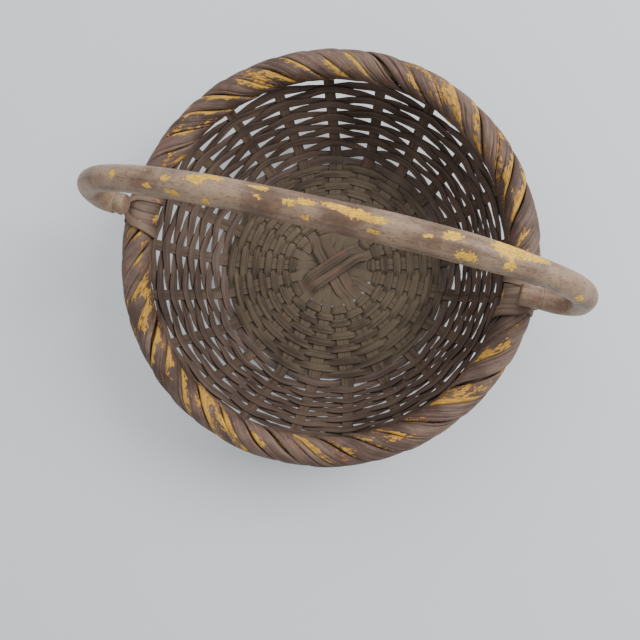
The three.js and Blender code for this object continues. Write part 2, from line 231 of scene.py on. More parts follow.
def agedPaint(name, look):
    # thin old paint over an ochre undercoat over splint, with grain, chips and worn patches
    made = Finish(name)
    straight = made.add("ShaderNodeAttribute", {"attribute_name": "straight"}, out=1)
    across = made.add("ShaderNodeAttribute", {"attribute_name": "across"}, out=2)
    bare = made.add("ShaderNodeAttribute", {"attribute_name": "bare"}, out=2)
    place = made.add("ShaderNodeTexCoord", out=3)
    fine, wide, soft = look["grainScale"], look["streakScale"], look["cloudScale"]
    grain = made.noise(made.stretched(straight, (look["grainAlong"], fine, fine)), 4.0, 0.6)
    streak = made.noise(made.stretched(straight, (look["streakAlong"], wide, wide), (3, 1, 2)), 3.0, 0.5)
    cloud = made.noise(made.stretched(place, (soft, soft, soft)), 4.0, 0.6)
    fleck = made.noise(made.stretched(straight, look["fleckScale"], (7, 4, 1)), 5.0, look["fleckRagged"])
    patch = made.noise(made.stretched(straight, look["patchScale"], (2, 9, 5)), 2.0, 0.5)
    tone = made.ramp(streak * look["streakShare"] + cloud * (1 - look["streakShare"]), *look["toneSpan"])
    paint = made.mix(tone, look["paintDark"], look["paintLight"])
    paint = made.mix(made.ramp(patch, *look["redSpan"]) * look["redAmount"], paint, look["paintRed"])
    paint = made.mix(made.ramp(grain, *look["grainSpan"]) * look["grainAmount"], paint, look["grainColour"])
    rubbing = cloud * 0.5 + streak * 0.5 + bare * look["wornByBare"]
    worn = made.ramp(rubbing, look["wornFrom"], look["wornTo"])
    paint = made.mix(worn * look["wornAmount"], paint, look["wornColour"])
    flaking = fleck * look["fleckShare"] + patch * (1 - look["fleckShare"]) + bare
    chips = made.ramp(flaking, look["chipFrom"], look["chipTo"])
    ochre = made.mix(made.ramp(grain, *look["ochreSpan"]), look["ochreDark"], look["ochreLight"])
    colour = made.mix(chips, paint, ochre)
    # darker towards each strip's long edges: partly real dirt in the joints, partly painted shade where
    # strips meet and the gaps between them fall dark
    edge = made.ramp(made.maths("ABSOLUTE", across), look["edgeFrom"], look["edgeTo"])
    colour = made.mix(edge * look["edgeDirtAndShade"], colour, look["dirtAndShadeColour"])
    height = grain * look["grainDepth"] + fleck * look["fleckDepth"] - chips * look["chipDepth"]
    bump = {"Strength": look["bump"], "Distance": look["bumpDistance"], "Height": height}
    gloss = look["roughness"] + chips * look["chipRoughness"] + (grain - 0.5) * look["grainRoughness"]
    return made.finish(**{"Base Color": colour, "Roughness": gloss,
                          "Normal": made.add("ShaderNodeBump", {}, bump),
                          "Specular IOR Level": look["specular"]})


oldPaint = {
    "paintDark": rgb(88, 69, 56),
    "paintLight": rgb(142, 118, 100),
    "paintRed": rgb(132, 90, 76),
    "redAmount": 0.4,
    "redSpan": (0.5, 0.72),
    "toneSpan": (0.38, 0.62),
    "cloudScale": 24.0,
    "grainColour": rgb(78, 62, 50),
    "grainSpan": (0.5, 0.66),
    "grainAmount": 0.45,
    "grainAlong": 60.0,
    "grainScale": 1500.0,
    "streakAlong": 14.0,
    "streakScale": 420.0,
    "streakShare": 0.5,
    "wornColour": rgb(134, 116, 84),
    "wornAmount": 0.35,
    "wornByBare": 0.0,
    "wornFrom": 0.5,
    "wornTo": 0.68,
    "fleckScale": (260, 620, 620),
    "fleckRagged": 0.62,
    "fleckShare": 0.55,
    "patchScale": (55, 120, 120),
    "chipFrom": 0.64,
    "chipTo": 0.67,
    "ochreDark": rgb(196, 140, 52),
    "ochreLight": rgb(238, 188, 92),
    "ochreSpan": (0.35, 0.7),
    "edgeFrom": 0.8,
    "edgeTo": 1.02,
    # edge darkening: dirt in the joints plus painted shade between neighbouring strips
    "edgeDirtAndShade": 0.0,
    "dirtAndShadeColour": rgb(31, 24, 20),
    "grainDepth": 0.5,
    "fleckDepth": 0.15,
    "chipDepth": 0.45,
    "bump": 0.6,
    "bumpDistance": 0.0006,
    "roughness": 0.62,
    "chipRoughness": 0.12,
    "grainRoughness": 0.16,
    "specular": 0.4,
}
borderPaint = agedPaint("borderPaint", {
    **oldPaint,
    "paintDark": rgb(80, 61, 52),
    "paintLight": rgb(130, 105, 92),
    "paintRed": rgb(124, 80, 72),
    "redAmount": 0.6,
    "streakScale": 560.0,
    "streakShare": 0.3,
    "grainAlong": 150.0,
    "grainScale": 1300.0,
    "grainAmount": 0.6,
    "fleckScale": (360, 820, 820),
    "ochreDark": rgb(174, 124, 40),
    "ochreLight": rgb(226, 178, 82),
    # strong edge darkening: painted shade lines at the seams between strands, with some dirt
    "edgeFrom": 0.83,
    "edgeDirtAndShade": 1.0,
    "bump": 0.7,
})
handlePaint = agedPaint("handlePaint", {
    **oldPaint,
    "paintDark": rgb(108, 84, 68),
    "paintLight": rgb(174, 147, 122),
    "paintRed": rgb(148, 106, 88),
    "redAmount": 0.55,
    "streakScale": 300.0,
    "streakShare": 0.22,
    "grainColour": rgb(92, 70, 56),
    "grainAmount": 0.55,
    "grainAlong": 420.0,
    "grainScale": 900.0,
    "patchScale": (90, 130, 130),
    "fleckScale": (460, 520, 520),
    "ochreDark": rgb(212, 156, 44),
    "ochreLight": rgb(255, 210, 86),
    "roughness": 0.46,
    "edgeFrom": 2.0,
    "bump": 0.4,
})
wallPaint = agedPaint("wallPaint", {
    **oldPaint,
    "paintDark": rgb(68, 54, 46),
    "paintLight": rgb(110, 90, 79),
    "paintRed": rgb(104, 74, 64),
    "wornColour": rgb(104, 92, 70),
    "grainAmount": 0.55,
    "bump": 0.9,
    "chipFrom": 0.78,
    "chipTo": 0.83,
    "edgeDirtAndShade": 0.6,
    "edgeFrom": 0.9,
    "roughness": 0.66,
})
strapPaint = agedPaint("strapPaint", {
    **oldPaint,
    "paintDark": rgb(100, 80, 70),
    "edgeDirtAndShade": 0.5,
    "edgeFrom": 0.9,
})
padPaint = agedPaint("padPaint", {
    **oldPaint,
    "paintDark": rgb(90, 72, 60),
    "paintLight": rgb(136, 114, 98),
    "edgeDirtAndShade": 0.5,
})
basePaint = agedPaint("basePaint", {
    **oldPaint,
    "paintDark": rgb(68, 55, 45),
    "paintLight": rgb(104, 87, 70),
    "paintRed": rgb(92, 70, 56),
    "redAmount": 0.5,
    "wornColour": rgb(108, 95, 76),
    "wornAmount": 0.6,
    "wornFrom": 0.42,
    "wornTo": 0.62,
    "grainAmount": 0.7,
    "bump": 1.0,
    "chipFrom": 0.95,
    "chipTo": 1.0,
    "edgeDirtAndShade": 0.8,
    "edgeFrom": 0.84,
    "roughness": 0.74,
})
splintBare = agedPaint("splintBare", {
    **oldPaint,
    "paintDark": rgb(70, 57, 46),
    "paintLight": rgb(106, 89, 72),
    "wornColour": rgb(104, 91, 73),
    "wornByBare": 1.0,
    "wornAmount": 0.75,
    "wornFrom": 0.8,
    "wornTo": 1.5,
    "grainAmount": 0.7,
    "bump": 1.0,
    "chipFrom": 3.0,
    "chipTo": 3.1,
    "edgeDirtAndShade": 0.7,
    "edgeFrom": 0.9,
    "roughness": 0.76,
})
hoopWood = agedPaint("hoopWood", {
    **oldPaint,
    "paintDark": rgb(120, 96, 62),
    "paintLight": rgb(160, 132, 88),
    "redAmount": 0.1,
    "chipFrom": 3.0,
    "chipTo": 3.1,
    "roughness": 0.8,
})
print("materials made")


splint = {
    "thickness": 0.0012,
    # widths at distances from the middle, beyond the cross
    "widthPlaces": [0.0284, 0.0308, 0.036, 0.050, 0.080, 0.104, 0.130, 0.170],
    "widths": [0.0089, 0.0074, 0.0077, 0.0096, 0.0112, 0.0088, 0.0084, 0.0080],
    "crossUntil": 0.021,
    "layers": [
        {"level": 0.0051, "direction": np.radians(47.1), "width": 0.0081,
         "splints": [[2, 14, -0.5], [3, 13, 0.5]]},
        {"level": 0.0036, "direction": np.radians(132.9), "width": 0.0081,
         "splints": [[7, 19, -0.5], [8, 18, 0.5]]},
        {"level": 0.0021, "direction": np.radians(90), "width": 0.0075,
         "splints": [[4, 17, -1], [5, 16, 0], [6, 15, 1]]},
        {"level": 0.0006, "direction": np.radians(184.3), "width": 0.0075,
         "splints": [[10, 22, -1], [11, 21, 0], [12, 20, 1]]},
    ],
    "sideGap": 0.0001,
    "turnsFrom": 0.0175,
    "turnsTo": 0.0288,
    "sinksFrom": 0.0185,
    "sinksTo": 0.0292,
    "insertedSlot": 9,
    "insertedStart": 0.0225,
    "insertedWidth": 0.0075,
    # spans of distances from the middle, with how many rings each gets
    "stretches": [(0.002, 0.034, 22), (0.036, 0.084, 34), (0.0855, 0.109, 18), (0.111, stakeEnd, 34)],
    "widthWaver": 0.03,
    "widthWaverLength": 0.009,
    # the shallow split that runs along each stake in the base
    "splitPlace": 0.06,
    "splitWander": 0.1,
    "splitDepth": 0.75,
    "splitWidth": 0.08,
    "splitFrom": (0.030, 0.036),
    "splitTo": (0.100, 0.112),
    "bareFrom": 0.074,
    "bareTo": 0.100,
    "bareWaver": 0.25,
    "splitDark": 0.55,
    # the top four splints keep more paint inside the cross
    "paintedSplints": 4,
    "crossPaint": 0.6,
    "crossPaintFades": (0.024, 0.034),
}


def splintWidth(length, layerWidth):
    places = [0, splint["crossUntil"]] + splint["widthPlaces"]
    return np.interp(length, places, [layerWidth, layerWidth] + splint["widths"])


def splintHalf(layer, slot, beside, travel, lengths):
    # Middle line and width direction of half a splint: straight inside the cross, then radial.
    angle = slot * slotAngle
    along = np.array([np.cos(layer["direction"]), np.sin(layer["direction"]), 0.0])
    side = np.array([-along[1], along[0], 0.0])
    radial = np.array([np.cos(angle), np.sin(angle), 0.0])
    turned = smoothStep(lengths, splint["turnsFrom"], splint["turnsTo"])[:, None]
    sunk = smoothStep(lengths, splint["sinksFrom"], splint["sinksTo"])
    inner = along * (lengths * travel)[:, None] + side * beside * (layer["width"] + splint["sideGap"])
    middle = onBasket(angle, lengths, np.zeros_like(lengths))
    flatPart = inner * (1 - turned) + radial * lengths[:, None] * turned
    flatPart[:, 2] = layer["level"] * (1 - sunk) + basket["stakeLevel"] * sunk
    beyond = (lengths > max(splint["sinksTo"], splint["turnsTo"]))[:, None]
    middle = np.where(beyond, middle, flatPart)
    heading = along * travel * (1 - turned) + radial * turned
    heading /= np.linalg.norm(heading, axis=1)[:, None]
    sideways = np.stack([-heading[:, 1], heading[:, 0], np.zeros(len(heading))], -1) * travel
    _, _, normalR, normalZ = profile(lengths)
    normal = radial * normalR[:, None] + np.array([0, 0, 1.0]) * normalZ[:, None]
    return middle, sideways, normal


def splintPiece(name, middle, sideways, normal, lengths, layerWidth, seed, *nodes):
    # a strip carried along its middle line, with a shallow groove along it outside the cross
    across, thick = splintSection(17)
    run = alongPath(middle)
    width = splintWidth(lengths, layerWidth) / 2
    width = width * (1 + splint["widthWaver"] * waver(run, seed, splint["widthWaverLength"]))
    split = (splint["splitPlace"] + splint["splitWander"] * waver(run, seed + 7, 0.03))[:, None]
    isSplit = smoothStep(lengths, *splint["splitFrom"]) * (1 - smoothStep(lengths, *splint["splitTo"]))
    groove = splint["splitDepth"] * np.exp(-(((across[None, :] - split) / splint["splitWidth"]) ** 2))
    groove = groove * isSplit[:, None]
    lift = thick[None, :] * splint["thickness"] / 2 * (1 - groove)
    reach = across[None, :] * width[:, None]
    rings = stripRings(middle, sideways, normal, reach, lift)
    straight = asSheet(run[:, None] + seed * 1.37, reach, lift)
    bare = 1 - smoothStep(lengths, splint["bareFrom"], splint["bareTo"])
    painted = splint["crossPaint"] * (seed <= splint["paintedSplints"])
    bare = bare - painted * (1 - smoothStep(lengths, *splint["crossPaintFades"]))
    bare = bare * (1 + splint["bareWaver"] * waver(run, seed + 13, 0.02))
    made = lattice(name, rings, straight, across[None, :], bare[:, None] - splint["splitDark"] * groove)
    return finishPiece(made, splintBare, "basket", "bare_splint", *nodes)


splintLengths = np.concatenate([np.linspace(*stretch) for stretch in splint["stretches"]])
number = 0
for layer in splint["layers"]:
    for nearSlot, farSlot, beside in layer["splints"]:
        number += 1
        near = splintHalf(layer, nearSlot, beside, 1, splintLengths)
        far = splintHalf(layer, farSlot, beside, -1, splintLengths)
        joined = [np.concatenate([f[::-1], n]) for f, n in zip(far, near)]
        lengths = np.concatenate([splintLengths[::-1], splintLengths])
        splintPiece(f"crossSplint{number:02d}", *joined, lengths, layer["width"], number,
                    f"splint_{number:02d}")
isBeyond = splintLengths > splint["insertedStart"] + 0.0005
insertedLengths = np.concatenate([[splint["insertedStart"]], splintLengths[isBeyond]])
insertedAngle = splint["insertedSlot"] * slotAngle
insertedRadial = np.array([np.cos(insertedAngle), np.sin(insertedAngle), 0.0])
insertedSideways = np.array([-np.sin(insertedAngle), np.cos(insertedAngle), 0.0])
_, _, insertedR, insertedZ = profile(insertedLengths)
splintPiece(
    "halfSplint",
    onBasket(insertedAngle, insertedLengths, np.zeros_like(insertedLengths)),
    np.broadcast_to(insertedSideways, (len(insertedLengths), 3)),
    insertedRadial * insertedR[:, None] + np.array([0, 0, 1.0]) * insertedZ[:, None],
    insertedLengths, splint["insertedWidth"], number + 1, "half_splint")
print("splints made")


weave = {
    "thickness": 0.0008,
    "samples": 12,
    "base": {
        "width": 0.0063,
        "pitch": 0.00515,
        "start": 0.03085,
        "side": 0.00106,
        "lift": 0.0,
        "turns": [6, 5],
        "steep": 3.0,
        "shingle": 0.0007,
        "stray": 0.0002,
        "widthStray": 0.05,
    },
    "wall": {
        "width": 0.0062,
        "pitch": 0.00603,
        "start": 0.0882,
        "side": 0.00115,
        "lift": 0.0029,
        "turns": [2, 2, 2, 2, 2, 2],
        "steep": 2.4,
        "shingle": 0.0006,
        "stray": 0.0009,
        "widthStray": 0.13,
    },
    "liftFrom": 0.0875,
    "liftTo": 0.103,
    # angles over which a row strays, widens and rolls, and how many stakes its ends take to settle
    "strayAngle": 0.16,
    "widthAngle": 0.11,
    "rollAngle": 0.2,
    "rollStray": 0.00008,
    "endFade": 0.6,
}


def weaverPiece(name, spec, turns, rowStart, firstStake, material, slotName, node):
    # A strip over and under the stakes. Its offset is tanh(steep cos(pi stake)); rows on the wall also
    # rise and sink by lift cos(pi stake), so that they pair up at every other stake.
    seed = 50 + firstStake
    count = turns * basket["stakeCount"]
    stake = np.linspace(0, count, count * weave["samples"] + 1)
    swing = np.cos(np.pi * (firstStake + stake))
    side = np.tanh(spec["steep"] * swing) / np.tanh(spec["steep"])
    angle = (firstStake + stake) * slotAngle
    middle = rowStart + spec["pitch"] * stake / basket["stakeCount"]
    middle = middle + swing * spec["lift"] * smoothStep(middle, weave["liftFrom"], weave["liftTo"])
    ends = smoothStep(stake, 0, weave["endFade"]) * smoothStep(count - stake, 0, weave["endFade"])
    middle = middle + spec["stray"] * waver(angle, seed, weave["strayAngle"]) * ends
    width = spec["width"] / 2 * (1 + spec["widthStray"] * waver(angle, seed + 50, weave["widthAngle"]))
    across, thick = splintSection()
    roll = (1 - np.abs(side)) * spec["shingle"]
    roll = roll + weave["rollStray"] * waver(angle, seed + 90, weave["rollAngle"])
    reach = across[None, :] * width[:, None]
    skin = thick[None, :] * weave["thickness"] / 2
    offset = (side * spec["side"])[:, None] + across[None, :] * roll[:, None] + skin
    rings = onBasket(angle[:, None], middle[:, None] + reach, offset)
    run = angle * profile(middle)[0].mean() + seed * 2.11
    made = lattice(name, rings, asSheet(run[:, None], reach, skin), across[None, :], np.zeros((1, 1)))
    return finishPiece(made, material, "basket", slotName, node)


stakesPassed = -basket["stakeCount"]
for kind, material, slotName in (("base", basePaint, "base_weave"), ("wall", wallPaint, "wall_weave")):
    spec = weave[kind]
    rowStart = spec["start"]
    for index, turns in enumerate(spec["turns"]):
        weaverPiece(f"{kind}Weaver{index + 1:02d}", spec, turns, rowStart, stakesPassed, material,
                    slotName, f"{kind}_weaver_{index + 1:02d}")
        rowStart += turns * spec["pitch"]
        stakesPassed += turns * basket["stakeCount"]
print("weavers made")


border = {
    "advance": np.radians(34.3),
    "wrapFrom": np.radians(-88),
    "wrapTo": np.radians(230),
    "steps": 90,
    "across": 34,
    "inner": 0.0072,
    "edge": 0.0086,
    "crown": 0.0111,
    "halfSpan": 0.5 * slotAngle / 2 * 1.015,
    "halfWidth": 0.0066,
    "wrapRadius": 0.0165,
    "angleStray": np.radians(0.6),
    "spanStray": 0.09,
    "crownStray": 0.0005,
    "crownWaver": 0.00018,
    "wander": 0.006,
    "lap": 0.0007,
    "tilt": 0.0004,
    # creases along a strand: how many, how deep and how often, where across and along it, how wide
    "creases": 3,
    "creaseSizes": [0.0002, 0.0005, 0.0012],
    "creaseChances": [0.5, 0.3, 0.2],
    "creasePlaces": (-0.6, 0.8),
    "creaseDrift": 0.25,
    "creaseReach": (0.15, 0.6),
    "creaseCentre": (0.25, 0.85),
    "creaseWidth": 0.06,
}
flame = {
    "share": 0.86,
    "bare": 0.225,
    "specks": (-0.02, 0.13),
    "speckWaver": 0.04,
    "inner": (140, 185),
    "outer": (0, 75),
    "width": (0.32, 0.82),
    "ragged": 0.45,
    "raggedAngle": 0.14,
    "outerFade": 0.9,
    "innerFade": 0.7,
    "trim": 0.12,
    "fades": (-0.38, 0.2),
}


def strandPiece(name, index, half, node):
    # A splint round the hoop: depth = edge + (crown - edge)(1 - |across|^7)^0.8, lapped over the strand
    # before it, less a few creases along it, carried round while it moves on along the rim.
    order = index * 2 + half
    rng = np.random.default_rng(300 + order)
    wrap = np.linspace(border["wrapFrom"], border["wrapTo"], border["steps"])
    top = np.linspace(-1, 1, border["across"])
    across = np.concatenate([top, np.linspace(1, -1, 6)[1:-1]])
    isTop = np.arange(len(across)) < border["across"]
    share = (wrap - wrap[0]) / (wrap[-1] - wrap[0])
    crown = border["crown"] + rng.uniform(-1, 0.2) * border["crownStray"]
    crown = crown + border["crownWaver"] * waver(wrap, 700 + order, 0.45)
    bulge = (1 - np.abs(across) ** 7) ** 0.8
    slope = -border["lap"] * (across + 1) / 2 + rng.uniform(-1, 1) * border["tilt"] * across
    depth = border["edge"] + (crown[:, None] - border["edge"]) * bulge[None, :] + slope[None, :]
    for _ in range(border["creases"]):
        place = rng.uniform(*border["creasePlaces"])
        drift = rng.uniform(-1, 1) * border["creaseDrift"]
        reach = rng.uniform(*border["creaseReach"])
        centre = rng.uniform(*border["creaseCentre"])
        fades = np.exp(-(((share - centre) / reach) ** 2))
        size = rng.choice(border["creaseSizes"], p=border["creaseChances"])
        away = (across[None, :] - place - drift * share[:, None]) / border["creaseWidth"]
        depth = depth - size * fades[:, None] * np.exp(-(away ** 2))
    depth = np.where(isTop[None, :], depth, border["inner"])
    middle = (index + 0.25 + 0.5 * half) * slotAngle + rng.uniform(-1, 1) * border["angleStray"]
    span = border["halfSpan"] * (1 + rng.uniform(-0.6, 1) * border["spanStray"])
    angle = middle - wrap[:, None] / (2 * np.pi) * border["advance"] + across[None, :] * span
    angle = angle + border["wander"] * waver(wrap, 800 + order, 0.8)[:, None]
    run = wrap * border["wrapRadius"] + order * 1.91
    straight = asSheet(run[:, None], across[None, :] * border["halfWidth"], depth * 0.5)
    bare = flameShare(rng, wrap, across, order)
    made = lattice(name, roundBorder(angle, wrap, depth), straight, across[None, :], bare)
    return finishPiece(made, borderPaint, "basket", "painted_border", node)


def roundBorder(angle, wrap, depth):
    # round the basket by angle, round the border's middle line by wrap, out from it by depth
    radius = basket["borderPlace"] + depth * np.cos(wrap)[:, None]
    height = basket["borderLevel"] + depth * np.sin(wrap)[:, None]
    return np.stack([radius * np.cos(angle), radius * np.sin(angle), height], -1)


def flameShare(rng, wrap, across, order):
    # Where rubbing has gone through the paint: a long ragged tongue along the strand's raised edge, as
    # wide as low sines and smooth ends make it, from the inside of the rim over its top.
    specks = rng.uniform(*flame["specks"]) + flame["speckWaver"] * waver(wrap, 900 + order, 0.3)[:, None]
    inner = np.radians(rng.uniform(*flame["inner"]))
    outer = np.radians(rng.uniform(*flame["outer"]))
    width = rng.uniform(*flame["width"]) if rng.uniform() < flame["share"] else 0.0
    starts = smoothStep(wrap, outer, outer + flame["outerFade"])
    stops = 1 - smoothStep(wrap, inner - flame["innerFade"], inner)
    ragged = 1 + flame["ragged"] * waver(wrap, 950 + order, flame["raggedAngle"])
    width = width * (starts * stops) * ragged - flame["trim"]
    rubbed = smoothStep(width[:, None] - (across[None, :] + 0.9), *flame["fades"])
    return specks + (flame["bare"] - specks) * rubbed


for index in range(basket["stakeCount"]):
    for half, letter in enumerate("ab"):
        strandPiece(f"borderStrand{index + 1:02d}{letter}", index, half, f"border_strand_{index + 1:02d}")

hoop = {"radius": 0.0063, "around": 16, "steps": 168}
hoopAngle = np.arange(hoop["steps"]) / hoop["steps"] * 2 * np.pi
hoopWrap = np.arange(hoop["around"]) / hoop["around"] * 2 * np.pi
hoopOut = basket["borderPlace"] + hoop["radius"] * np.cos(hoopWrap)[None, :]
hoopUp = basket["borderLevel"] + hoop["radius"] * np.sin(hoopWrap)[None, :]
hoopRings = asSheet(hoopOut * np.cos(hoopAngle)[:, None], hoopOut * np.sin(hoopAngle)[:, None], hoopUp)
hoopPiece = lattice("borderHoop", hoopRings, hoopRings, np.zeros((1, 1)), np.zeros((1, 1)), isLoop=True)
finishPiece(hoopPiece, hoopWood, "basket", "hoop_wood", "border_hoop")
print("border made")


handle = {
    "pivotHeight": 0.0894,
    "rodEnd": {-1: 0.0083, 1: 0.0076},
    "rodCrown": 0.0091,
    "rodThickens": [0.4, 0.75],
    "bowHalfWidth": 0.165,
    "bowRise": 0.082,
    "squareness": 2.43,
    "shift": 0.0062,
    "bend": {-1: 0.008, 1: 0.013},
    "tip": {-1: 0.143, 1: 0.136},
    "lean": np.radians(4.5),
    # radius of the peg at distances from its tip, and its lashing groove at distances from the middle
    "pegEnd": [[0.0, 0.0061], [0.0001, 0.0065], [0.0004, 0.0069], [0.0010, 0.0071], [0.0026, 0.0072]],
    "groove": [[0.1476, 0.0072], [0.14800, 0.0072], [0.14806, 0.0071], [0.14808, 0.0062], [0.1482, 0.0060],
               [0.1498, 0.0060], [0.14992, 0.0062], [0.14994, 0.0071], [0.15000, 0.0072], [0.1504, 0.0072]],
    "around": 44,
    "bendSteps": 16,
    "bowSteps": 90,
    "bowCrowding": 1.15,
    # the stick's uneven thickness: along it, and round it with a slow twist
    "knots": 0.018,
    "knotLength": 0.03,
    "oval": 0.012,
    "ovalTwist": 14,
    "evenBelow": 0.0075,
    "soundPaint": -0.055,
    "soundStray": 0.03,
    "upperWear": 0.02,
    "spotSize": 1.12,
    "spotStrength": 1.15,
    # along the bow, way it faces (90 is up), length, spread and how bare
    "rubbedSpots": [
        [-0.115, 92, 0.0022, 26, 0.27], [-0.095, 66, 0.0028, 13, 0.26], [-0.089, 128, 0.0030, 12, 0.26],
        [-0.078, 88, 0.0036, 17, 0.27], [-0.074, 137, 0.0070, 12, 0.26], [-0.060, 72, 0.0062, 26, 0.29],
        [-0.050, 50, 0.0070, 13, 0.28], [-0.052, 150, 0.0040, 12, 0.26], [-0.023, 58, 0.0070, 11, 0.28],
        [-0.021, 96, 0.0040, 11, 0.24], [-0.005, 93, 0.0028, 12, 0.25], [0.004, 82, 0.0055, 16, 0.28],
        [0.006, 128, 0.0040, 15, 0.28], [0.023, 72, 0.0110, 17, 0.28], [0.042, 86, 0.0120, 16, 0.28],
        [0.044, 128, 0.0060, 10, 0.27], [0.071, 96, 0.0030, 12, 0.27], [0.084, 76, 0.0065, 22, 0.28],
        [0.092, 132, 0.0060, 15, 0.26], [0.113, 66, 0.0075, 30, 0.30], [0.128, 58, 0.0090, 20, 0.29],
        [0.117, 128, 0.0040, 15, 0.27], [0.160, 150, 0.0030, 20, 0.26], [0.1710, 65, 0.0006, 40, 0.28],
        [0.050, 240, 0.0200, 50, 0.12], [-0.050, 200, 0.0200, 60, 0.10], [0.100, 190, 0.0200, 60, 0.10],
        [-0.090, 275, 0.0120, 30, 0.16], [0.010, 290, 0.0090, 30, 0.18],
    ],
}


def handleSide(side):
    # from the peg's tip along its axis, round a tight bend, then up a superellipse to the crown
    tip, bend = handle["tip"][side], handle["bend"][side]
    pegX = np.array([tip + stop[0] for stop in handle["pegEnd"]] + [stop[0] for stop in handle["groove"]])
    pegR = np.array([stop[1] for stop in handle["pegEnd"] + handle["groove"]])
    turn = np.linspace(0.04, 1, handle["bendSteps"]) * np.pi / 2
    bendX = handle["bowHalfWidth"] - bend + bend * np.sin(turn)
    bendUp = bend * (1 - np.cos(turn))
    power = 2 / handle["squareness"]
    sweep = np.linspace(0, 1, handle["bowSteps"])[1:] ** handle["bowCrowding"] * np.pi / 2
    bowX = handle["bowHalfWidth"] * np.cos(sweep) ** power
    bowUp = bend + (handle["bowRise"] - bend) * np.sin(sweep) ** power
    x = np.concatenate([side * pegX, handle["shift"] + side * np.concatenate([bendX, bowX])])
    up = np.concatenate([np.zeros(len(pegX)), bendUp, bowUp])
    thick = smoothStep(sweep / (np.pi / 2), *handle["rodThickens"])
    rodEnd = handle["rodEnd"][side]
    bowR = rodEnd + (handle["rodCrown"] - rodEnd) * thick
    return x, up, np.concatenate([pegR, np.full(len(turn), rodEnd), bowR])


left, right = handleSide(-1), handleSide(1)
rodX, rodUp, rodRadius = [np.concatenate([a, b[:-1][::-1]]) for a, b in zip(left, right)]
upward = np.array([0, np.sin(handle["lean"]), np.cos(handle["lean"])])
beside = np.array([0, np.cos(handle["lean"]), -np.sin(handle["lean"])])
rodMiddle = asSheet(rodX, 0.0, handle["pivotHeight"]) + rodUp[:, None] * upward
heading = np.gradient(rodMiddle, axis=0)
pegCount = len(handle["pegEnd"] + handle["groove"])
heading[:pegCount] = [-1.0, 0, 0]
heading[-pegCount:] = [-1.0, 0, 0]
heading /= np.linalg.norm(heading, axis=1)[:, None]
outward = np.cross(heading, beside)
rodRun = alongPath(rodMiddle)
turn = np.arange(handle["around"]) / handle["around"] * 2 * np.pi
uneven = 1 + handle["knots"] * waver(rodRun, 41, handle["knotLength"])[:, None]
uneven = uneven + handle["oval"] * np.cos(2 * turn[None, :] + rodRun[:, None] * handle["ovalTwist"])
uneven = np.where((rodRadius > handle["evenBelow"])[:, None], uneven, 1.0)
rodReach = rodRadius[:, None] * uneven
rings = rodMiddle[:, None, :] + beside * (rodReach * np.cos(turn))[..., None]
rings = rings + outward[:, None, :] * (rodReach * np.sin(turn))[..., None]
straight = asSheet(rodRun[:, None], rodReach * np.cos(turn), rodReach * np.sin(turn))
rubbed = handle["soundPaint"] + handle["soundStray"] * waver(rodRun, 47, 0.02)[:, None]
rubbed = rubbed + handle["upperWear"] * np.cos(turn[None, :] - 1.2)
for place, facing, length, spread, strength in handle["rubbedSpots"]:
    gap = (turn[None, :] - np.radians(facing) + np.pi) % (2 * np.pi) - np.pi
    along = (rodX[:, None] - place) / (length * handle["spotSize"])
    across = gap / (np.radians(spread) * handle["spotSize"])
    rubbed = rubbed + strength * handle["spotStrength"] * np.exp(-(along ** 2 + across ** 2))
handlePiece = lattice("handleRod", rings, straight, np.zeros((1, 1)), rubbed)
finishPiece(handlePiece, handlePaint, "handle", "painted_handle", "handle")
print("handle made")


ear = {
    "thickness": 0.0010,
    "width": 0.0082,
    "narrows": 0.0018,
    "wrap": 0.0121,
    "tuckedTo": np.radians(-58),
    "wrapStops": 8,
    "spread": 0.0128,
    "closes": 0.0032,
    # from the border's top to the peg: back from the loop's end, beside the peg's axis, width
    "overTop": [(0.006, 0.0076, 0.0052), (0.0035, 0.005, 0.0038), (0.0017, 0.0029, 0.0036),
                (0.0004, 0.0012, 0.0036)],
    "apex": 0.1486,
    "slack": 0.0002,
}
lashing = {
    "place": 0.149,
    "width": 0.0018,
    "thickness": 0.0010,
    "neck": 0.0060,
    # its lower corners: in from the side, and up from the bottom
    "corners": [(0.0, 0.002), (0.0005, 0.0008), (0.0014, 0.0002)],
}
pad = {
    "depth": 0.01125,
    "thickness": 0.0005,
    "span": np.radians(7.8),
    "wrapFrom": -60,
    "wrapTo": 206,
    "wander": 0.012,
    "widthStray": 0.05,
    "cracks": 5,
    "crackDepth": 0.00014,
    "crackWidth": 0.05,
    "swell": 0.0001,
    "bareFrom": np.radians(140),
    "bareTo": np.radians(176),
    "bare": 0.2,
    "soundPaint": -0.02,
}


def curveThrough(stops, perSpan):
    # Catmull-Rom curve through rows of numbers: a cubic in t between each two, level with its neighbours
    padded = np.concatenate([[2 * stops[0] - stops[1]], stops, [2 * stops[-1] - stops[-2]]])
    t = np.linspace(0, 1, perSpan, endpoint=False)[None, :, None]
    a, b, c, d = [padded[i:len(padded) - 3 + i][:, None, :] for i in range(4)]
    square = (2 * a - 5 * b + 4 * c - d) * t ** 2
    cube = (3 * b - a - 3 * c + d) * t ** 3
    curve = 0.5 * (2 * b + (c - a) * t + square + cube)
    return np.concatenate([curve.reshape(-1, stops.shape[1]), stops[-1:]])


def earStops():
    # place from the axis, beside the pivot axis, height, tilt and width along one leg
    turn = np.linspace(ear["tuckedTo"], np.pi / 2, ear["wrapStops"])
    over = np.maximum(turn, 0) / (np.pi / 2)
    legs = asSheet(
        basket["borderPlace"] - ear["wrap"] * np.cos(turn),
        ear["spread"] - ear["closes"] * over,
        basket["borderLevel"] + ear["wrap"] * np.sin(turn),
        turn,
        ear["width"] - ear["narrows"] * over)
    top = basket["borderLevel"] + ear["wrap"]
    loop = [[ear["apex"] - back, beside, top, np.pi / 2, width] for back, beside, width in ear["overTop"]]
    return np.concatenate([legs, loop])


